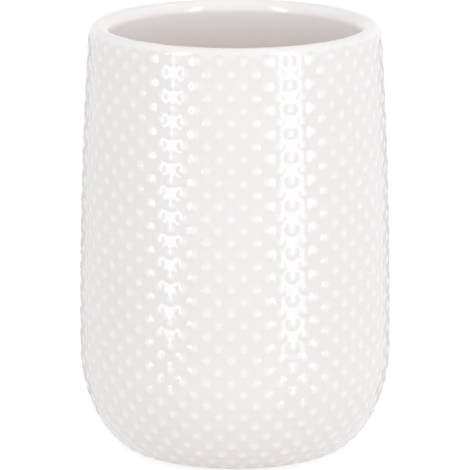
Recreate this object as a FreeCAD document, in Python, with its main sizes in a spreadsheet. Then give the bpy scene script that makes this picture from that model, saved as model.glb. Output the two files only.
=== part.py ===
import FreeCAD, Part
import math
import os
from types import SimpleNamespace

import Sketcher

# Bathroom tumbler: a ceramic cup turned from one section, raised dots in staggered rows
# on the outside of its wall, and stick-on feet in the recess under its base.
# Millimetres, +Z up, axis on Z, origin in the middle of the plane that it stands on.

# Driving dimensions: name, value, meaning
SIZES = (
    ("body_height", 106.0, "foot ring to the top of the lip"),
    ("widest_diameter", 77.4, "outside, across the swell of the wall"),
    ("widest_height", 24.1, "widest line above the foot ring"),
    ("rim_inset", 2.8, "rim in from the widest line, on the radius"),
    ("foot_inset", 10.7, "foot ring in from the widest line, on the radius"),
    ("wall_thickness", 4.4, "wall, and width of the rounded lip"),
    ("base_thickness", 4.5, "floor of the cup above the recess"),
    ("heel_turn", 27.0, "slope in degrees where the wide heel curve meets the tight one"),
    ("foot_slope", 54.0, "slope in degrees where the heel meets the foot's round edge"),
    ("foot_edge_radius", 1.5, "round at the outside of the foot ring"),
    ("foot_ring_width", 5.5, "flat of the foot ring"),
    ("recess_depth", 1.2, "recess inside the foot ring"),
    ("dot_rows", 37, "rows of dots from the lip to the foot"),
    ("dots_per_row", 40, "dots round the cup"),
    ("dot_diameter", 2.8, "dot where it meets the wall"),
    ("dot_height", 0.45, "dot above the wall"),
    ("dot_root", 0.4, "depth of the plain dome before it is fitted to the wall"),
    ("dot_turn", -1.4, "turn in degrees of the dots about the axis"),
    ("first_row_drop", 3.1, "top of the lip to the middle of the first row"),
    ("last_row_margin", 0.95, "middle of the last row to the end of the heel curve"),
    ("pad_count", 4, "stick-on feet"),
    ("pad_diameter", 9.0, "stick-on foot"),
    ("pad_thickness", 1.85, "stick-on foot"),
    ("pad_edge_radius", 0.5, "round at the lower edge of a stick-on foot"),
    ("pad_clearance", 2.0, "stick-on foot to the side of the recess"),
    ("adhesive_thickness", 0.15, "adhesive between a foot and the base"),
    ("adhesive_margin", 0.4, "edge of the adhesive in from the edge of its foot"),
)

# Sizes that several pieces share, as formulas on the sheet
WIDEST_RADIUS = "sizes.widest_diameter / 2"
FOOT_RADIUS = f"{WIDEST_RADIUS} - sizes.foot_inset"
RECESS_RADIUS = f"{FOOT_RADIUS} - sizes.foot_ring_width"
STAND_HEIGHT = "sizes.pad_thickness + sizes.adhesive_thickness - sizes.recess_depth"
PAD_RADIUS = "sizes.pad_diameter / 2"
PAD_CIRCLE_RADIUS = f"{RECESS_RADIUS} - sizes.pad_clearance - {PAD_RADIUS}"
DOT_BALL_RADIUS = "(sizes.dot_diameter ^ 2 / 4 + sizes.dot_height ^ 2) / (2 * sizes.dot_height)"

# A sketch edge's points, and the sketch's own origin and axes, as the sketcher numbers them
START, END, CENTRE = 1, 2, 3
ORIGIN = (-1, START)
ACROSS_AXIS = -1
UPRIGHT_AXIS = -2

UP = FreeCAD.Vector(0, 0, 1)
FULL_TURN = 360.0

# A dome is turned on its own axis, because its cut can fail where its seam lies along the cup's
DOME_TURN = 45.0

doc = FreeCAD.newDocument("bathroom_tumbler")
sheet = doc.addObject("Spreadsheet::Sheet", "sizes")
for line, (alias, value, meaning) in enumerate(SIZES, start=1):
    sheet.set(f"A{line}", alias)
    sheet.set(f"B{line}", str(value))
    sheet.set(f"C{line}", meaning)
    sheet.setAlias(f"B{line}", alias)
doc.recompute()
size = SimpleNamespace(**{alias: float(sheet.get(alias)) for alias, value, meaning in SIZES})


def origin_feature(body, role):
    """One of a body's own origin planes or axes."""
    return next(feature for feature in body.Origin.OriginFeatures if feature.Role == role)


def new_body(label):
    """A body that may hold several separate solids."""
    body = doc.addObject("PartDesign::Body", label)
    body.Label = label
    body.AllowCompound = True
    return body


def new_sketch(body, name, plane_role):
    """A sketch on one of the body's origin planes."""
    sketch = body.newObject("Sketcher::SketchObject", name)
    sketch.AttachmentSupport = [(origin_feature(body, plane_role), "")]
    sketch.MapMode = "FlatFace"
    return sketch


def bind(sketch, name, constraint, formula):
    """Adds a dimension and ties it to the sheet."""
    index = sketch.addConstraint(constraint)
    sketch.renameConstraint(index, name)
    sketch.setExpression(f"Constraints.{name}", formula)


def repeat_round(body, name, count_formula):
    """Repeats all that a body holds round its upright axis."""
    doc.recompute()
    pattern = body.newObject("PartDesign::PolarPattern", name)
    pattern.TransformMode = "Whole shape"
    pattern.Axis = (origin_feature(body, "Z_Axis"), [""])
    pattern.Angle = FULL_TURN
    pattern.setExpression("Occurrences", count_formula)
    body.Tip = pattern


def section_of_cup():
    """Radii, angles and arc centres of the half section, with heights above the foot ring."""
    wide_r = size.widest_diameter / 2
    foot_r = wide_r - size.foot_inset
    half_wall = size.wall_thickness / 2

    # The wall is one long arc, upright at the widest line, that leads into the round lip
    rise = size.body_height - half_wall - size.widest_height
    bow_middle = (size.rim_inset ** 2 + rise ** 2) / (2 * size.rim_inset)
    bow_outside = bow_middle + half_wall

    # The heel is two arcs whose radii follow from where they start, meet and end
    turn = math.radians(size.heel_turn)
    slope = math.radians(size.foot_slope)
    across = size.foot_inset - size.foot_edge_radius * math.cos(slope)
    down = size.widest_height - size.foot_edge_radius * (1 - math.sin(slope))
    upper_across = 1 - math.cos(turn)
    upper_down = math.sin(turn)
    lower_across = math.cos(turn) - math.cos(slope)
    lower_down = math.sin(slope) - math.sin(turn)
    spread = upper_across * lower_down - lower_across * upper_down
    upper_heel = (across * lower_down - down * lower_across) / spread
    lower_heel = (down * upper_across - across * upper_down) / spread

    upper_centre = FreeCAD.Vector(wide_r - upper_heel, size.widest_height)
    to_meeting = FreeCAD.Vector(math.cos(turn), -math.sin(turn))
    return SimpleNamespace(
        wide_r=wide_r,
        foot_r=foot_r,
        recess_r=foot_r - size.foot_ring_width,
        floor_z=size.recess_depth + size.base_thickness,
        half_wall=half_wall,
        wall_lean=math.asin(rise / bow_middle),
        bow_outside=bow_outside,
        bow_inside=bow_middle - half_wall,
        bow_centre=FreeCAD.Vector(wide_r - bow_outside, size.widest_height),
        lip_centre=FreeCAD.Vector(wide_r - size.rim_inset - half_wall, size.body_height - half_wall),
        turn=turn,
        slope=slope,
        upper_heel=upper_heel,
        lower_heel=lower_heel,
        upper_centre=upper_centre,
        lower_centre=upper_centre + to_meeting * (upper_heel - lower_heel),
    )


def line(from_r, from_z, to_r, to_z):
    """A straight sketch edge."""
    return Part.LineSegment(FreeCAD.Vector(from_r, from_z), FreeCAD.Vector(to_r, to_z))


def arc(centre, radius, first, last):
    """A sketch arc that runs counterclockwise between two angles in radians."""
    return Part.ArcOfCircle(Part.Circle(centre, UP, radius), first, last)


def make_cup(section):
    """The ceramic cup: lip, wall, heel, floor and foot ring, turned round the axis."""
    body = new_body("ceramic_body")
    sketch = new_sketch(body, "cup_section", "XZ_Plane")
    right_angle = math.pi / 2
    inside_r = section.wide_r - size.wall_thickness
    inside_heel = size.widest_height - section.floor_z
    inside_centre = FreeCAD.Vector(inside_r - inside_heel, size.widest_height)
    foot_centre = FreeCAD.Vector(section.foot_r, size.foot_edge_radius)
    lean = section.wall_lean

    # The edges in order: under the base, up the outside, over the lip and down the inside
    edges = {
        "ceiling": line(0, size.recess_depth, section.recess_r, size.recess_depth),
        "recess_side": line(section.recess_r, size.recess_depth, section.recess_r, 0),
        "foot": line(section.recess_r, 0, section.foot_r, 0),
        "foot_edge": arc(foot_centre, size.foot_edge_radius, -right_angle, -section.slope),
        "lower_heel": arc(section.lower_centre, section.lower_heel, -section.slope, -section.turn),
        "upper_heel": arc(section.upper_centre, section.upper_heel, -section.turn, 0),
        "wall": arc(section.bow_centre, section.bow_outside, 0, lean),
        "lip": arc(section.lip_centre, section.half_wall, lean, lean + math.pi),
        "inside_wall": arc(section.bow_centre, section.bow_inside, 0, lean),
        "inside_heel": arc(inside_centre, inside_heel, -right_angle, 0),
        "floor": line(inside_centre.x, section.floor_z, 0, section.floor_z),
        "axis": line(0, section.floor_z, 0, size.recess_depth),
    }
    edge = {name: sketch.addGeometry(shape, False) for name, shape in edges.items()}

    # How each edge meets the next one
    joins = (
        ("Coincident", "ceiling", END, "recess_side", START),
        ("Coincident", "recess_side", END, "foot", START),
        ("Tangent", "foot", END, "foot_edge", START),
        ("Tangent", "foot_edge", END, "lower_heel", START),
        ("Tangent", "lower_heel", END, "upper_heel", START),
        ("Tangent", "upper_heel", END, "wall", START),
        ("Tangent", "wall", END, "lip", START),
        ("Tangent", "lip", END, "inside_wall", END),
        ("Tangent", "inside_wall", START, "inside_heel", END),
        ("Tangent", "inside_heel", START, "floor", START),
        ("Coincident", "floor", END, "axis", START),
        ("Coincident", "axis", END, "ceiling", START),
    )
    for kind, first, first_point, second, second_point in joins:
        sketch.addConstraint(Sketcher.Constraint(kind, edge[first], first_point, edge[second], second_point))

    # What lies level, upright, on an axis or round a shared centre
    for name in ("ceiling", "foot", "floor"):
        sketch.addConstraint(Sketcher.Constraint("Horizontal", edge[name]))
    sketch.addConstraint(Sketcher.Constraint("Vertical", edge["recess_side"]))
    sketch.addConstraint(Sketcher.Constraint("PointOnObject", edge["foot"], START, ACROSS_AXIS))
    sketch.addConstraint(Sketcher.Constraint("PointOnObject", edge["axis"], START, UPRIGHT_AXIS))
    sketch.addConstraint(Sketcher.Constraint("PointOnObject", edge["axis"], END, UPRIGHT_AXIS))
    concentric = Sketcher.Constraint("Coincident", edge["wall"], CENTRE, edge["inside_wall"], CENTRE)
    sketch.addConstraint(concentric)
    for name in ("wall", "inside_wall"):
        level_with_centre = Sketcher.Constraint("Horizontal", edge[name], START, edge["wall"], CENTRE)
        sketch.addConstraint(level_with_centre)

    # Dimensions: name, direction from the origin, edge and point, value now, formula
    lip_height = "sizes.body_height - sizes.wall_thickness / 2"
    lip_radius = f"{WIDEST_RADIUS} - sizes.rim_inset - sizes.wall_thickness / 2"
    floor_height = "sizes.recess_depth + sizes.base_thickness"
    places = (
        ("recess_radius", "DistanceX", "foot", START, section.recess_r, RECESS_RADIUS),
        ("recess_height", "DistanceY", "ceiling", START, size.recess_depth, "sizes.recess_depth"),
        ("foot_radius", "DistanceX", "foot", END, section.foot_r, FOOT_RADIUS),
        ("widest_radius", "DistanceX", "wall", START, section.wide_r, WIDEST_RADIUS),
        ("widest_level", "DistanceY", "wall", START, size.widest_height, "sizes.widest_height"),
        ("lip_radius", "DistanceX", "lip", CENTRE, section.lip_centre.x, lip_radius),
        ("lip_height", "DistanceY", "lip", CENTRE, section.lip_centre.y, lip_height),
        ("floor_height", "DistanceY", "axis", START, section.floor_z, floor_height),
    )
    for name, kind, on_edge, point, value, formula in places:
        bind(sketch, name, Sketcher.Constraint(kind, *ORIGIN, edge[on_edge], point, value), formula)
    rounds = (
        ("foot_edge_round", "Radius", "foot_edge", size.foot_edge_radius, "sizes.foot_edge_radius"),
        ("lip_round", "Radius", "lip", section.half_wall, "sizes.wall_thickness / 2"),
        ("upper_sweep", "Angle", "upper_heel", section.turn, "sizes.heel_turn * 1 deg"),
        ("lower_sweep", "Angle", "lower_heel", section.slope - section.turn,
         "(sizes.foot_slope - sizes.heel_turn) * 1 deg"),
    )
    for name, kind, on_edge, value, formula in rounds:
        bind(sketch, name, Sketcher.Constraint(kind, edge[on_edge], value), formula)

    turned = body.newObject("PartDesign::Revolution", "turned_cup")
    turned.Profile = sketch
    turned.ReferenceAxis = (sketch, ["V_Axis"])
    turned.Angle = FULL_TURN
    body.setExpression("Placement.Base.z", STAND_HEIGHT)
    return body


def place_on_wall(section, distance):
    """Point and outward direction on the outside, measured along it up from the widest line."""
    heel_length = section.upper_heel * section.turn
    if distance >= 0:
        angle = distance / section.bow_outside
        centre, radius = section.bow_centre, section.bow_outside
    elif distance >= -heel_length:
        angle = distance / section.upper_heel
        centre, radius = section.upper_centre, section.upper_heel
    else:
        angle = (distance + heel_length) / section.lower_heel - section.turn
        centre, radius = section.lower_centre, section.lower_heel
    outward = FreeCAD.Vector(math.cos(angle), 0, math.sin(angle))
    return FreeCAD.Vector(centre.x, 0, centre.y) + outward * radius, outward


def make_dot_rows(cup, section):
    """Rows of domes, each fitted to the wall it sits on, every second row half a step round."""
    stand_height = size.pad_thickness + size.adhesive_thickness - size.recess_depth
    ball_radius = (size.dot_diameter ** 2 / 4 + size.dot_height ** 2) / (2 * size.dot_height)
    first_level = size.body_height - size.first_row_drop - size.widest_height
    top = section.bow_outside * math.asin(first_level / section.bow_outside)
    lower_length = section.lower_heel * (section.slope - section.turn)
    bottom = size.last_row_margin - section.upper_heel * section.turn - lower_length
    row_count = int(size.dot_rows)
    pitch = (top - bottom) / (row_count - 1)
    half_step = FULL_TURN / size.dots_per_row / 2

    rows = []
    for number in range(1, row_count + 1):
        point, outward = place_on_wall(section, top - (number - 1) * pitch)
        middle = point - outward * (ball_radius - size.dot_height) + UP * stand_height

        dome = doc.addObject("Part::Sphere", f"dome_{number:02d}")
        dome.setExpression("Radius", DOT_BALL_RADIUS)
        base_level = f"({DOT_BALL_RADIUS} - sizes.dot_height - sizes.dot_root)"
        dome.setExpression("Angle1", f"asin({base_level} / ({DOT_BALL_RADIUS}))")
        to_wall = FreeCAD.Rotation(UP, outward) * FreeCAD.Rotation(UP, DOME_TURN)
        dome.Placement = FreeCAD.Placement(middle, to_wall)

        fitted = doc.addObject("Part::Cut", f"fitted_dome_{number:02d}")
        fitted.Base = dome
        fitted.Tool = cup

        row = new_body(f"dot_row_{number:02d}")
        row.BaseFeature = fitted
        repeat_round(row, f"round_cup_{number:02d}", "sizes.dots_per_row")
        row_turn = size.dot_turn + half_step * (number % 2)
        row.Placement = FreeCAD.Placement(FreeCAD.Vector(), FreeCAD.Rotation(UP, row_turn))
        rows.append(row)
    return rows


def make_discs(label, radius_formula, thickness_formula, section):
    """A body that holds one disc, at the first foot's place, before it is repeated."""
    body = new_body(label)
    sketch = new_sketch(body, f"{label}_outline", "XY_Plane")
    place = section.recess_r - size.pad_clearance - size.pad_diameter / 2
    outline = Part.Circle(FreeCAD.Vector(place, 0), UP, size.pad_diameter / 2)
    disc = sketch.addGeometry(outline, False)
    sketch.addConstraint(Sketcher.Constraint("PointOnObject", disc, CENTRE, ACROSS_AXIS))
    from_axis = Sketcher.Constraint("DistanceX", *ORIGIN, disc, CENTRE, place)
    bind(sketch, "from_axis", from_axis, PAD_CIRCLE_RADIUS)
    bind(sketch, "edge", Sketcher.Constraint("Radius", disc, size.pad_diameter / 2), radius_formula)
    pad = body.newObject("PartDesign::Pad", f"{label}_disc")
    pad.Profile = sketch
    pad.setExpression("Length", thickness_formula)
    return body, pad


def make_feet(section):
    """Stick-on feet with a rounded lower edge, which the tumbler stands on."""
    body, pad = make_discs("foot_pads", PAD_RADIUS, "sizes.pad_thickness", section)
    doc.recompute()
    lower_edge = next(
        f"Edge{number}"
        for number, edge in enumerate(pad.Shape.Edges, start=1)
        if edge.Closed and edge.BoundBox.ZMax < size.pad_thickness / 2
    )
    rounded = body.newObject("PartDesign::Fillet", "rounded_edge")
    rounded.Base = (pad, [lower_edge])
    rounded.setExpression("Radius", "sizes.pad_edge_radius")
    repeat_round(body, "feet_round_base", "sizes.pad_count")
    return body


def make_adhesive(section):
    """The adhesive discs between the feet and the base."""
    radius_formula = f"{PAD_RADIUS} - sizes.adhesive_margin"
    body, disc = make_discs("pad_adhesive", radius_formula, "sizes.adhesive_thickness", section)
    repeat_round(body, "adhesive_round_base", "sizes.pad_count")
    body.setExpression("Placement.Base.z", "sizes.pad_thickness")
    return body


section = section_of_cup()
cup = make_cup(section)
doc.recompute()
pieces = [cup, *make_dot_rows(cup, section), make_feet(section), make_adhesive(section)]
doc.recompute()

# Nothing is written unless every object was built
for item in doc.Objects:
    if "Invalid" in item.State or "Error" in item.State:
        raise RuntimeError(f"{item.Label} failed: {item.State}")
for piece in pieces:
    if piece.Shape.isNull() or not piece.Shape.isValid():
        raise RuntimeError(f"{piece.Label} has no valid shape")

os.makedirs("parts", exist_ok=True)
for piece in pieces:
    piece.Shape.exportStep(f"parts/{piece.Label}.step")
    print(piece.Label, len(piece.Shape.Solids), "solids", round(piece.Shape.Volume, 2), "mm3")
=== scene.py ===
import math

import bpy
import numpy as np
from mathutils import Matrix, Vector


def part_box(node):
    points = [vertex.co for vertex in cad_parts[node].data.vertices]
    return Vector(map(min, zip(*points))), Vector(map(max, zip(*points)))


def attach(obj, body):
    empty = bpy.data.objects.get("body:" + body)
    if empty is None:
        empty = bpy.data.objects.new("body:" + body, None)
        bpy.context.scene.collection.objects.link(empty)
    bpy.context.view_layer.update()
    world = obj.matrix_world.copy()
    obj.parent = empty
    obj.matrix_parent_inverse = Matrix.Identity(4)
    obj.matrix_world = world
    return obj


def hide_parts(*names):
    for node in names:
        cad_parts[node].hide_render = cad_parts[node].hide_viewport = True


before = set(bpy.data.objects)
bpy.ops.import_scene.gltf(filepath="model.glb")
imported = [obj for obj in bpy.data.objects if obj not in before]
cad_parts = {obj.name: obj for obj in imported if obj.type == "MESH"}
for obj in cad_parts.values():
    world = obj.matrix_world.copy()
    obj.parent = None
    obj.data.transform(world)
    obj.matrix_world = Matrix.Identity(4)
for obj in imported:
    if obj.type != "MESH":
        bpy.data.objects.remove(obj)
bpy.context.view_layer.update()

# The cup. White earthenware, slip cast in one piece: a thick round lip, a wall that swells to a low
# belly, a round heel, and a foot ring round a shallow recess. It is glazed inside and out, and the
# ring that it stood on in the kiln was wiped bare.

MM = 0.001
cup_low, cup_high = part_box("ceramic_body")
FOOT_Z = cup_low.z
BODY_HEIGHT = cup_high.z - cup_low.z
WIDEST_RADIUS = cup_high.x
WIDEST_HEIGHT = 24.1 * MM
RIM_INSET = 2.8 * MM
FOOT_INSET = 10.7 * MM
WALL = 4.4 * MM
BASE = 4.5 * MM
LIP_INSIDE = 2.8 * MM
HEEL_TURN = math.radians(27)
FOOT_SLOPE = math.radians(54)
FOOT_EDGE_ROUND = 1.5 * MM
FOOT_RING_WIDTH = 5.5 * MM
RECESS_DEPTH = 1.2 * MM
RECESS_ROUND = 0.6 * MM
RING_ROUND = 0.3 * MM
BARE_HEIGHT = 0.25 * MM
CUP_COLUMNS = 288
LONGEST_STEP = 1.2 * MM
LARGEST_TURN = math.radians(5)
RIGHT_ANGLE = math.pi / 2


def heel_radii():
    """Radii of the two heel arcs, which follow from where the heel starts, turns and ends."""
    across = FOOT_INSET - FOOT_EDGE_ROUND * math.cos(FOOT_SLOPE)
    down = WIDEST_HEIGHT - FOOT_EDGE_ROUND * (1 - math.sin(FOOT_SLOPE))
    shares = [
        [1 - math.cos(HEEL_TURN), math.cos(HEEL_TURN) - math.cos(FOOT_SLOPE)],
        [math.sin(HEEL_TURN), math.sin(FOOT_SLOPE) - math.sin(HEEL_TURN)],
    ]
    return np.linalg.solve(shares, [across, down])


# The heel is two arcs between the foot ring and the widest line
foot_radius = WIDEST_RADIUS - FOOT_INSET
upper_heel, lower_heel = heel_radii()
upper_r = WIDEST_RADIUS - upper_heel
lower_r = upper_r + (upper_heel - lower_heel) * math.cos(HEEL_TURN)
lower_z = WIDEST_HEIGHT - (upper_heel - lower_heel) * math.sin(HEEL_TURN)

# Each face of the wall is one long arc, upright at the widest line, that leads into the round lip
rise = BODY_HEIGHT - WALL / 2 - WIDEST_HEIGHT
bow = (RIM_INSET ** 2 + rise ** 2) / (2 * RIM_INSET)
bow_r = WIDEST_RADIUS - WALL / 2 - bow
bow_outside = bow + WALL / 2
lean = math.asin(rise / bow)
lip_r = WIDEST_RADIUS - RIM_INSET - WALL / 2
lip_z = BODY_HEIGHT - WALL / 2
lip_inside_z = BODY_HEIGHT - LIP_INSIDE
inside_radius = WIDEST_RADIUS - WALL
inset = inside_radius - lip_r
climb = lip_inside_z - WIDEST_HEIGHT
bow_inside = (inset ** 2 + climb ** 2 - LIP_INSIDE ** 2) / (2 * (LIP_INSIDE + inset))
lean_inside = math.asin(climb / (bow_inside + LIP_INSIDE))

# Each arc is its centre's radius and height above the foot ring, its radius, and two angles from level
outside_arcs = [
    (foot_radius, FOOT_EDGE_ROUND, FOOT_EDGE_ROUND, -RIGHT_ANGLE, -FOOT_SLOPE),
    (lower_r, lower_z, lower_heel, -FOOT_SLOPE, -HEEL_TURN),
    (upper_r, WIDEST_HEIGHT, upper_heel, -HEEL_TURN, 0.0),
    (bow_r, WIDEST_HEIGHT, bow_outside, 0.0, lean),
    (lip_r, lip_z, WALL / 2, lean, RIGHT_ANGLE),
]
floor_height = RECESS_DEPTH + BASE
inside_heel = WIDEST_HEIGHT - floor_height
floor_radius = inside_radius - inside_heel
inside_arcs = [
    (lip_r, lip_inside_z, LIP_INSIDE, RIGHT_ANGLE, lean_inside + 2 * RIGHT_ANGLE),
    (inside_radius - bow_inside, WIDEST_HEIGHT, bow_inside, lean_inside, 0.0),
    (floor_radius, WIDEST_HEIGHT, inside_heel, 0.0, -RIGHT_ANGLE),
]
recess_radius = foot_radius - FOOT_RING_WIDTH
ceiling_radius = recess_radius - RECESS_ROUND
recess_arcs = [
    (ceiling_radius, RECESS_DEPTH - RECESS_ROUND, RECESS_ROUND, RIGHT_ANGLE, 0.0),
    (recess_radius + RING_ROUND, RING_ROUND, RING_ROUND, 2 * RIGHT_ANGLE, 3 * RIGHT_ANGLE),
]


def arc_points(centre_r, centre_z, radius, first, last):
    """Radius and height of points along an arc, close enough together to look round."""
    turn = abs(last - first)
    steps = math.ceil(max(turn / LARGEST_TURN, turn * radius / LONGEST_STEP))
    angle = np.linspace(first, last, steps + 1)
    return np.column_stack((centre_r + radius * np.cos(angle), centre_z + radius * np.sin(angle)))


def level_points(first_r, last_r, height):
    """Radius and height of points along a level stretch."""
    steps = math.ceil(abs(last_r - first_r) / LONGEST_STEP)
    return np.column_stack((np.linspace(first_r, last_r, steps + 1), np.full(steps + 1, height)))


def joined(stretches):
    """One outline from stretches, without the point that a stretch shares with the one before it."""
    line = stretches[0]
    for points in stretches[1:]:
        shared = np.allclose(points[0], line[-1])
        line = np.vstack((line, points[1:] if shared else points))
    return line


def turned_mesh(name, outline, columns):
    """Closed mesh made by turning an outline that starts and ends on the axis, outside on its right."""
    angle = np.arange(columns) * 2 * math.pi / columns
    radius, height = outline[1:-1].T
    x = np.outer(radius, np.cos(angle))
    y = np.outer(radius, np.sin(angle))
    z = np.repeat(height[:, None], columns, axis=1)
    rings = np.stack((x, y, z), axis=2).reshape(-1, 3)
    ends = [[0.0, 0.0, outline[0, 1]], [0.0, 0.0, outline[-1, 1]]]
    number = np.arange(len(rings)).reshape(len(radius), columns)
    beside = np.roll(number, -1, axis=1)
    quads = np.stack((number[:-1], beside[:-1], beside[1:], number[1:]), axis=2).reshape(-1, 4)
    first_end, last_end = len(rings), len(rings) + 1
    faces = quads.tolist()
    faces += [(first_end, b, a) for a, b in zip(number[0].tolist(), beside[0].tolist())]
    faces += [(last_end, a, b) for a, b in zip(number[-1].tolist(), beside[-1].tolist())]
    mesh = bpy.data.meshes.new(name)
    mesh.from_pydata(np.vstack((rings, ends)).tolist(), [], faces)
    mesh.shade_smooth()
    return mesh


def add_numbers(mesh, name, values):
    """A number on each point of a mesh, for its material to read."""
    mesh.attributes.new(name, "FLOAT", "POINT").data.foreach_set("value", np.asarray(values, np.float32))


def add_piece(name, mesh, materials):
    """An object in the scene that wears these materials."""
    for material in materials:
        mesh.materials.append(material)
    piece = bpy.data.objects.new(name, mesh)
    bpy.context.scene.collection.objects.link(piece)
    return piece


def linear(colour):
    """Linear red, green, blue and alpha of an sRGB hex colour."""
    shares = [int(colour[i:i + 2], 16) / 255 for i in (1, 3, 5)]
    return [s / 12.92 if s <= 0.04045 else ((s + 0.055) / 1.055) ** 2.4 for s in shares] + [1.0]


def add_node(tree, kind, inputs, **settings):
    """A node with its settings, and each input linked to a socket or set to a value."""
    node = tree.nodes.new("ShaderNode" + kind)
    for name, value in settings.items():
        setattr(node, name, value)
    for name, value in inputs.items():
        if isinstance(value, bpy.types.NodeSocket):
            tree.links.new(value, node.inputs[name])
        else:
            node.inputs[name].default_value = value
    return node


def new_tree(material):
    """The empty node tree of a new material."""
    material.use_nodes = True
    material.node_tree.nodes.clear()
    return material.node_tree


# Clear glaze over the white body, fired glossy. To the eye: a wet shine with a slight ripple where it
# flowed, greyer where it lies deep. The top of the lip and the tops of the dots are painted whiter,
# partly glaze running thin over raised edges and partly painted light. The coat poured inside is a
# little warmer and is painted lighter than the outside as painted light, and it is painted whiter
# still towards the lip, with painted shade deeper down.
GLAZE_DEEP = "#E4E2E2"
GLAZE_PLAIN = "#E7E5E6"
GLAZE_THIN_AND_LIT = "#FBF9F8"
# The inside colour is the glaze's warmer tint, painted lighter than the outside glaze as painted light.
GLAZE_INSIDE_WARM_AND_LIT = "#F5ECEA"
# Depth below the rim over which the inside is painted whiter, fading to painted shade lower down.
INSIDE_PAINTED_LIGHT_DEPTH = 14 * MM
GLAZE_CLOUD = 16 * MM
GLAZE_RIPPLE = 2.4 * MM
GLAZE_RIPPLE_DEPTH = 0.012 * MM
white_glaze = bpy.data.materials.new("clear_glaze_on_white_ware")
tree = new_tree(white_glaze)
place = add_node(tree, "TexCoord", {}).outputs["Object"]
thin_and_lit = add_node(tree, "Attribute", {}, attribute_name="thin_glaze_and_painted_light").outputs["Fac"]
inside = add_node(tree, "Attribute", {}, attribute_name="inside").outputs["Fac"]
cloud = add_node(tree, "TexNoise", {"Vector": place, "Scale": 1 / GLAZE_CLOUD, "Detail": 2.0})
ripple = add_node(tree, "TexNoise", {"Vector": place, "Scale": 1 / GLAZE_RIPPLE, "Detail": 1.0})
depth = add_node(tree, "MixRGB", {
    "Fac": cloud.outputs["Fac"],
    "Color1": linear(GLAZE_DEEP),
    "Color2": linear(GLAZE_PLAIN),
})
# Inside, the glaze takes the warmer colour, which is painted lighter as painted light.
inside_warm_and_lit = add_node(tree, "MixRGB", {
    "Fac": inside,
    "Color1": depth.outputs["Color"],
    "Color2": linear(GLAZE_INSIDE_WARM_AND_LIT),
})
# Painted light: the lip top, the dot tops and the inside near the rim are mixed whiter here, partly as
# thin glaze and partly as painted light.
colour = add_node(tree, "MixRGB", {
    "Fac": thin_and_lit,
    "Color1": inside_warm_and_lit.outputs["Color"],
    "Color2": linear(GLAZE_THIN_AND_LIT),
})
shine = add_node(tree, "MapRange", {
    "Value": cloud.outputs["Fac"],
    "From Min": 0.3,
    "From Max": 0.7,
    "To Min": 0.05,
    "To Max": 0.09,
})
bump = add_node(tree, "Bump", {
    "Height": ripple.outputs["Fac"],
    "Distance": GLAZE_RIPPLE_DEPTH,
    "Strength": 1.0,
})
surface = add_node(tree, "BsdfPrincipled", {
    "Base Color": colour.outputs["Color"],
    "Roughness": shine.outputs["Result"],
    "Normal": bump.outputs["Normal"],
    "IOR": 1.5,
})
add_node(tree, "OutputMaterial", {"Surface": surface.outputs["BSDF"]})

# Fired earthenware with its glaze wiped off: a dry cream surface with a fine sandy grain and a few
# darker grains of grog.
EARTHENWARE = "#EFE7DC"
EARTHENWARE_DARK = "#DCCFBF"
EARTHENWARE_GRAIN = 0.35 * MM
bare_earthenware = bpy.data.materials.new("bare_earthenware")
tree = new_tree(bare_earthenware)
place = add_node(tree, "TexCoord", {}).outputs["Object"]
grain = add_node(tree, "TexNoise", {"Vector": place, "Scale": 1 / EARTHENWARE_GRAIN, "Detail": 3.0})
colour = add_node(tree, "MixRGB", {
    "Fac": grain.outputs["Fac"],
    "Color1": linear(EARTHENWARE_DARK),
    "Color2": linear(EARTHENWARE),
})
bump = add_node(tree, "Bump", {
    "Height": grain.outputs["Fac"],
    "Distance": 0.1 * EARTHENWARE_GRAIN,
    "Strength": 0.6,
})
surface = add_node(tree, "BsdfPrincipled", {
    "Base Color": colour.outputs["Color"],
    "Roughness": 0.85,
    "Normal": bump.outputs["Normal"],
    "IOR": 1.5,
})
add_node(tree, "OutputMaterial", {"Surface": surface.outputs["BSDF"]})

outline = joined(
    [level_points(0.0, ceiling_radius, RECESS_DEPTH)]
    + [arc_points(*arc) for arc in recess_arcs]
    + [level_points(recess_radius + RING_ROUND, foot_radius, 0.0)]
    + [arc_points(*arc) for arc in outside_arcs + inside_arcs]
    + [level_points(floor_radius, 0.0, floor_height)]
)
ring_heights = outline[1:-1, 1]
cup_mesh = turned_mesh("glazed_cup", outline + [0.0, FOOT_Z], CUP_COLUMNS)
# Painted light on the cup: outside, the top half of the lip is painted whiter, partly thin glaze over the
# edge and partly painted light from above. Inside, the glaze is painted whiter at the rim and darker with
# depth, as painted shade.
over_lip = np.clip((ring_heights - lip_z) / (WALL / 2), 0.0, 1.0)
is_inside = np.arange(len(ring_heights)) > np.argmax(ring_heights)
painted_light_near_rim = 1 - np.clip((BODY_HEIGHT - ring_heights) / INSIDE_PAINTED_LIGHT_DEPTH, 0.0, 1.0)
thin_and_lit_share = np.where(is_inside, painted_light_near_rim, over_lip)
add_numbers(cup_mesh, "thin_glaze_and_painted_light", list(np.repeat(thin_and_lit_share, CUP_COLUMNS)) + [0.0, 0.0])
add_numbers(cup_mesh, "inside", list(np.repeat(is_inside, CUP_COLUMNS)) + [0.0, 1.0])
cup = add_piece("glazed_cup", cup_mesh, [white_glaze, bare_earthenware])
for face in cup_mesh.polygons:
    face.material_index = int(face.center.z - FOOT_Z < BARE_HEIGHT)
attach(cup, "root")
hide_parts("ceramic_body")

# The raised dots. Low round beads of the same white body, in staggered rows on the wall from the lip
# to the foot, under the same coat of glaze, which rounds their edges into the wall.

DOTS_PER_ROW = 40
DOT_TURN = math.radians(-1.4)
BEAD_RADIUS = 1.5 * MM
BEAD_HEIGHT = 0.10 * MM
COAT_RADIUS = 2.2 * MM
COAT_HEIGHT = 0.15 * MM
COAT_SKIRT = 0.02 * MM
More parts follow.
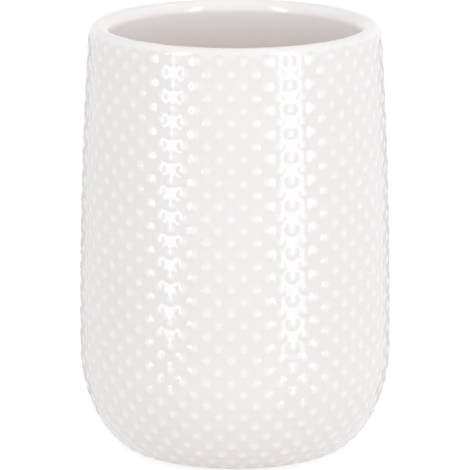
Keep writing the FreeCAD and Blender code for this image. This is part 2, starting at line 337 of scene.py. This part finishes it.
# The whiter spot on each dot top: partly glaze running thin over the bead, partly a painted highlight.
THIN_AND_LIT_RADIUS = 1.0 * MM
THIN_AND_LIT_SHARE = 0.45
FIRST_ROW_DROP = 3.1 * MM
LAST_ROW_MARGIN = 0.95 * MM
SIZE_SPREAD = 0.03
HEIGHT_SPREAD = 0.06
PLACE_SPREAD = 0.05 * MM
DOT_SPOKES = 18
DOT_RINGS = 8
dot_rows = sorted(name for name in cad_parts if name.startswith("dot_row_"))
draw = np.random.default_rng(37)


def outside_at(distance):
    """Radius, height and lean of the outside at a distance up it from the foot ring, and no lower."""
    distance = np.maximum(distance, 0.0)
    radius, height, tilt = np.zeros((3,) + distance.shape)
    start = 0.0
    for centre_r, centre_z, arc_radius, first, last in outside_arcs:
        angle = first + (distance - start) / arc_radius
        here = distance >= start
        radius = np.where(here, centre_r + arc_radius * np.cos(angle), radius)
        height = np.where(here, centre_z + arc_radius * np.sin(angle), height)
        tilt = np.where(here, angle, tilt)
        start += arc_radius * (last - first)
    return radius, height, tilt


def dot_row_mesh(name, distance, turn):
    """One row of dots on the wall, each a low bead that runs out into it, closed underneath."""
    size = 1 + SIZE_SPREAD * draw.uniform(-1, 1, DOTS_PER_ROW)[:, None]
    high = 1 + HEIGHT_SPREAD * draw.uniform(-1, 1, DOTS_PER_ROW)[:, None]
    across, up = PLACE_SPREAD * draw.uniform(-1, 1, (2, DOTS_PER_ROW, 1))
    centres = turn + np.arange(DOTS_PER_ROW)[:, None] * 2 * math.pi / DOTS_PER_ROW

    # Points of one dot: its middle, then rings of spokes, as a share of the radius and an angle
    share = np.concatenate(([0.0], np.repeat(np.arange(1, DOT_RINGS + 1) / DOT_RINGS, DOT_SPOKES)))
    spoke = np.concatenate(([0.0], np.tile(np.arange(DOT_SPOKES) * 2 * math.pi / DOT_SPOKES, DOT_RINGS)))

    # Height over the wall, and how steeply it falls: a bead, a wider coat over it, and an edge let in
    on_bead = np.minimum(share * COAT_RADIUS / BEAD_RADIUS, 1.0)
    bead = high * BEAD_HEIGHT * (1 - on_bead ** 2) ** 2
    coat = high * COAT_HEIGHT * (1 - share ** 2) ** 2
    level = bead + coat - COAT_SKIRT * share ** 6
    bead_fall = 4 * BEAD_HEIGHT / BEAD_RADIUS * on_bead * (1 - on_bead ** 2)
    coat_fall = 4 * COAT_HEIGHT / COAT_RADIUS * share * (1 - share ** 2)
    fall = high * (bead_fall + coat_fall) / size

    # The same points laid on the wall, with the directions that they face
    reach = COAT_RADIUS * size * share
    radius, height, tilt = outside_at(distance + up + reach * np.sin(spoke))
    angle = centres + (across + reach * np.cos(spoke)) / radius
    outward = np.stack((np.cos(tilt) * np.cos(angle), np.cos(tilt) * np.sin(angle), np.sin(tilt)), axis=2)
    sideways = np.stack((-np.sin(angle), np.cos(angle), np.zeros_like(angle)), axis=2)
    upward = np.cross(outward, sideways)
    wall = np.stack((radius * np.cos(angle), radius * np.sin(angle), height + FOOT_Z), axis=2)
    points = wall + level[..., None] * outward
    slope = np.cos(spoke)[:, None] * sideways + np.sin(spoke)[:, None] * upward
    normals = outward + fall[..., None] * slope
    normals /= np.linalg.norm(normals, axis=2, keepdims=True)

    # Faces of one dot: a fan in the middle, rings of four-sided faces, and one face underneath
    ring = 1 + np.arange(DOT_RINGS * DOT_SPOKES).reshape(DOT_RINGS, DOT_SPOKES)
    beside = np.roll(ring, -1, axis=1)
    fan = [(0, a, b) for a, b in zip(ring[0], beside[0])]
    quads = np.stack((ring[:-1], ring[1:], beside[1:], beside[:-1]), axis=2).reshape(-1, 4)
    one_dot = fan + [tuple(quad) for quad in quads] + [tuple(ring[-1][::-1])]
    faces = [[int(p) + dot * len(share) for p in face] for dot in range(DOTS_PER_ROW) for face in one_dot]
    mesh = bpy.data.meshes.new(name)
    mesh.from_pydata(points.reshape(-1, 3).tolist(), [], faces)
    mesh.shade_smooth()
    mesh.normals_split_custom_set_from_vertices(normals.reshape(-1, 3).tolist())
    # Painted highlight on each dot top, partly thin glaze: a whiter spot that fades out from the middle.
    thin_and_lit_on_top = THIN_AND_LIT_SHARE * np.exp(-(share * COAT_RADIUS / THIN_AND_LIT_RADIUS) ** 4)
    add_numbers(mesh, "thin_glaze_and_painted_light", np.tile(thin_and_lit_on_top, DOTS_PER_ROW))
    return mesh


# The rows lie evenly along the outside, from just under the lip to just above the foot's round edge
heel_lengths = [radius * (last - first) for _, _, radius, first, last in outside_arcs[:3]]
widest_distance = sum(heel_lengths)
top_angle = math.asin((BODY_HEIGHT - FIRST_ROW_DROP - WIDEST_HEIGHT) / bow_outside)
top_distance = widest_distance + bow_outside * top_angle
bottom_distance = heel_lengths[0] + LAST_ROW_MARGIN
row_distances = np.linspace(top_distance, bottom_distance, len(dot_rows))
for row, (node, distance) in enumerate(zip(dot_rows, row_distances), start=1):
    turn = DOT_TURN + (row % 2) * math.pi / DOTS_PER_ROW
    name = node.replace("dot_row", "glazed_dots")
    dots = add_piece(name, dot_row_mesh(name, distance, turn), [white_glaze])
    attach(dots, "root")
    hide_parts(node)

# The adhesive discs. Clear acrylic transfer film, punched with the feet, that holds each of them to
# the recess under the base.

# Clear acrylic film, cast on a liner: a smooth, faintly yellow shine with small trapped bubbles.
FILM = "#EFEBDD"
FILM_BUBBLE = "#FBFAF4"
FILM_BUBBLE_SIZE = 0.5 * MM
acrylic_film = bpy.data.materials.new("clear_acrylic_adhesive")
tree = new_tree(acrylic_film)
place = add_node(tree, "TexCoord", {}).outputs["Object"]
bubbles = add_node(tree, "TexVoronoi", {"Vector": place, "Scale": 1 / FILM_BUBBLE_SIZE})
colour = add_node(tree, "MixRGB", {
    "Fac": bubbles.outputs["Distance"],
    "Color1": linear(FILM_BUBBLE),
    "Color2": linear(FILM),
})
bump = add_node(tree, "Bump", {
    "Height": bubbles.outputs["Distance"],
    "Distance": 0.02 * MM,
    "Strength": 0.5,
})
surface = add_node(tree, "BsdfPrincipled", {
    "Base Color": colour.outputs["Color"],
    "Roughness": 0.2,
    "Normal": bump.outputs["Normal"],
    "IOR": 1.47,
})
add_node(tree, "OutputMaterial", {"Surface": surface.outputs["BSDF"]})
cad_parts["pad_adhesive"].data.materials.clear()
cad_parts["pad_adhesive"].data.materials.append(acrylic_film)

# The feet. Four soft bumpers of milky silicone rubber with a rounded lower edge, stuck in the recess,
# so the cup stands on them and its foot ring clears the shelf.

# Moulded silicone rubber: milky white, a satin skin with a fine mould grain and a little dust in it.
SILICONE = "#EDEDE9"
SILICONE_DUST = "#DEDCD6"
SILICONE_GRAIN = 0.25 * MM
silicone = bpy.data.materials.new("milky_silicone_rubber")
tree = new_tree(silicone)
place = add_node(tree, "TexCoord", {}).outputs["Object"]
grain = add_node(tree, "TexNoise", {"Vector": place, "Scale": 1 / SILICONE_GRAIN, "Detail": 2.0})
dust = add_node(tree, "TexNoise", {"Vector": place, "Scale": 1 / (8 * SILICONE_GRAIN), "Detail": 4.0})
colour = add_node(tree, "MixRGB", {
    "Fac": dust.outputs["Fac"],
    "Color1": linear(SILICONE),
    "Color2": linear(SILICONE_DUST),
})
satin = add_node(tree, "MapRange", {"Value": dust.outputs["Fac"], "To Min": 0.35, "To Max": 0.6})
bump = add_node(tree, "Bump", {
    "Height": grain.outputs["Fac"],
    "Distance": 0.05 * SILICONE_GRAIN,
    "Strength": 0.5,
})
surface = add_node(tree, "BsdfPrincipled", {
    "Base Color": colour.outputs["Color"],
    "Roughness": satin.outputs["Result"],
    "Normal": bump.outputs["Normal"],
    "IOR": 1.41,
    "Subsurface Weight": 0.2,
    "Subsurface Scale": 1 * MM,
})
add_node(tree, "OutputMaterial", {"Surface": surface.outputs["BSDF"]})
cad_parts["foot_pads"].data.materials.clear()
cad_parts["foot_pads"].data.materials.append(silicone)

# The floor. A sheet of white paper under the cup. It shows white to the camera, keeps a faint soft
# shadow and lights the heel from below. It is left out of the reflections in the glaze, which show the
# studio and the lower ends of the boxes in its place.

FLOOR_HALF = 2.0
PAPER = "#FCF8F7"
PAPER_FIBRE = "#F7F3F2"
PAPER_FIBRE_SIZE = 1.5 * MM
GLOW_SHARE = 0.8
GLOW_STRENGTH = 1.1
paper = bpy.data.materials.new("white_paper")
tree = new_tree(paper)
place = add_node(tree, "TexCoord", {}).outputs["Object"]
fibre = add_node(tree, "TexNoise", {"Vector": place, "Scale": 1 / PAPER_FIBRE_SIZE, "Detail": 3.0})
colour = add_node(tree, "MixRGB", {
    "Fac": fibre.outputs["Fac"],
    "Color1": linear(PAPER),
    "Color2": linear(PAPER_FIBRE),
})
sheet = add_node(tree, "BsdfDiffuse", {"Color": colour.outputs["Color"]})
glow = add_node(tree, "Emission", {"Color": linear("#FFFFFF"), "Strength": GLOW_STRENGTH})
ray = add_node(tree, "LightPath", {})
seen = add_node(tree, "Math", {0: ray.outputs["Is Camera Ray"], 1: GLOW_SHARE}, operation="MULTIPLY")
lit = add_node(tree, "MixShader", {0: seen.outputs[0], 1: sheet.outputs[0], 2: glow.outputs[0]})
add_node(tree, "OutputMaterial", {"Surface": lit.outputs[0]})
corners = [(-FLOOR_HALF, -FLOOR_HALF, 0.0), (FLOOR_HALF, -FLOOR_HALF, 0.0)]
corners += [(FLOOR_HALF, FLOOR_HALF, 0.0), (-FLOOR_HALF, FLOOR_HALF, 0.0)]
floor_mesh = bpy.data.meshes.new("paper_floor")
floor_mesh.from_pydata(corners, [], [(0, 1, 2, 3)])
floor = add_piece("paper_floor", floor_mesh, [paper])
floor.visible_glossy = False

# The light. A white studio all round, strongest low down, in front and to the right, two tall strip
# boxes beside the camera with a smaller box over each, and two grey cards behind the cup that draw a
# fine line down each side of it. The boxes and cards show only as shine on the glaze.

STUDIO_HIGH = 0.68
STUDIO_LOW = 1.12
STUDIO_FRONT = 0.70
STUDIO_BACK = -0.12
STUDIO_RIGHT = 0.32
LOW_SKY = 0.1
HIGH_SKY = 0.7

# Each box is its name, its degrees round from the front, its width, top and bottom, and its radiance
STRIPS = (
    ("left", -46.3, 0.076, 0.18, -0.073, 4.3),
    ("right", 41.7, 0.140, 0.16, -0.080, 3.2),
    ("upper_left", -46.3, 0.110, 0.64, 0.20, 5.0),
    ("upper_right", 41.7, 0.110, 0.64, 0.20, 5.0),
)
STRIP_DISTANCE = 0.45

# Each card is its name, the side that it stands on and its colour
CARDS = (("left", -1, "#BCBCBC"), ("right", 1, "#C0C0C0"))
CARD_AZIMUTHS = (147, 180)
CARD_DISTANCE = 0.6
CARD_TOP = 0.01
CARD_BOTTOM = -0.24

scene = bpy.context.scene
scene.world = bpy.data.worlds.new("white_studio")
scene.world.use_nodes = True
tree = scene.world.node_tree
tree.nodes.clear()
direction = add_node(tree, "TexCoord", {}).outputs["Generated"]
axes = add_node(tree, "SeparateXYZ", {"Vector": direction}).outputs
level = add_node(tree, "MapRange", {
    "Value": axes["Z"],
    "From Min": LOW_SKY,
    "From Max": HIGH_SKY,
    "To Min": STUDIO_LOW,
    "To Max": STUDIO_HIGH,
}, interpolation_type="SMOOTHSTEP").outputs["Result"]
for axis, far, more in (("Y", -1, STUDIO_FRONT), ("Y", 1, STUDIO_BACK), ("X", 1, STUDIO_RIGHT)):
    side = add_node(tree, "MapRange", {"Value": axes[axis], "From Min": 0.0, "From Max": far})
    lobe = add_node(tree, "Math", {0: side.outputs["Result"], 1: 2.0}, operation="POWER").outputs[0]
    level = add_node(tree, "Math", {0: lobe, 1: more, 2: level}, operation="MULTIPLY_ADD").outputs[0]
ray = add_node(tree, "LightPath", {})
shown = add_node(tree, "Math", {
    0: ray.outputs["Is Camera Ray"],
    1: ray.outputs["Is Transmission Ray"],
}, operation="MAXIMUM")
fill = add_node(tree, "Background", {"Color": linear("#FFFFFF"), "Strength": level})
white = add_node(tree, "Background", {"Color": linear("#FFFFFF"), "Strength": 1.0})
studio = add_node(tree, "MixShader", {0: shown.outputs[0], 1: fill.outputs[0], 2: white.outputs[0]})
add_node(tree, "OutputWorld", {"Surface": studio.outputs[0]})

for side, azimuth, width, top, bottom, radiance in STRIPS:
    strip = bpy.data.lights.new("strip_box_" + side, "AREA")
    strip.shape = "RECTANGLE"
    strip.size = width
    strip.size_y = top - bottom
    strip.energy = radiance * math.pi * strip.size * strip.size_y
    lamp = bpy.data.objects.new(strip.name, strip)
    turn = math.radians(azimuth)
    lamp.location = (
        STRIP_DISTANCE * math.sin(turn),
        -STRIP_DISTANCE * math.cos(turn),
        (top + bottom) / 2,
    )
    lamp.rotation_euler = (RIGHT_ANGLE, 0.0, turn)
    lamp.visible_camera = False
    lamp.visible_diffuse = False
    scene.collection.objects.link(lamp)

for side, sign, colour in CARDS:
    card_paper = bpy.data.materials.new("grey_card_" + side)
    tree = new_tree(card_paper)
    matt = add_node(tree, "BsdfDiffuse", {"Color": linear(colour)})
    add_node(tree, "OutputMaterial", {"Surface": matt.outputs[0]})
    edges = []
    for azimuth in CARD_AZIMUTHS:
        turn = sign * math.radians(azimuth)
        edges.append((CARD_DISTANCE * math.sin(turn), -CARD_DISTANCE * math.cos(turn)))
    corners = [(*edges[0], CARD_BOTTOM), (*edges[1], CARD_BOTTOM)]
    corners += [(*edges[1], CARD_TOP), (*edges[0], CARD_TOP)]
    card_mesh = bpy.data.meshes.new("grey_card_" + side)
    card_mesh.from_pydata(corners, [], [(0, 1, 2, 3)])
    card = add_piece("grey_card_" + side, card_mesh, [card_paper])
    card.visible_camera = False
    card.visible_diffuse = False
    card.visible_shadow = False
    card.visible_transmission = False

# The camera. A long lens in front of the cup and a little above the rim, so the far side of the lip and
# some of the inside show.

AIM_HEIGHT = 0.053
CAMERA_DISTANCE = 0.848
CAMERA_ELEVATION = math.radians(13.9)
LENS_MM = 259.9
SENSOR_MM = 36.0
view = bpy.data.cameras.new("camera")
view.lens = LENS_MM
view.sensor_width = SENSOR_MM
camera = bpy.data.objects.new("camera", view)
camera.location = (
    0.0,
    -CAMERA_DISTANCE * math.cos(CAMERA_ELEVATION),
    AIM_HEIGHT + CAMERA_DISTANCE * math.sin(CAMERA_ELEVATION),
)
camera.rotation_euler = (RIGHT_ANGLE - CAMERA_ELEVATION, 0.0, 0.0)
scene.collection.objects.link(camera)
scene.camera = camera
scene.view_settings.view_transform = "Standard"
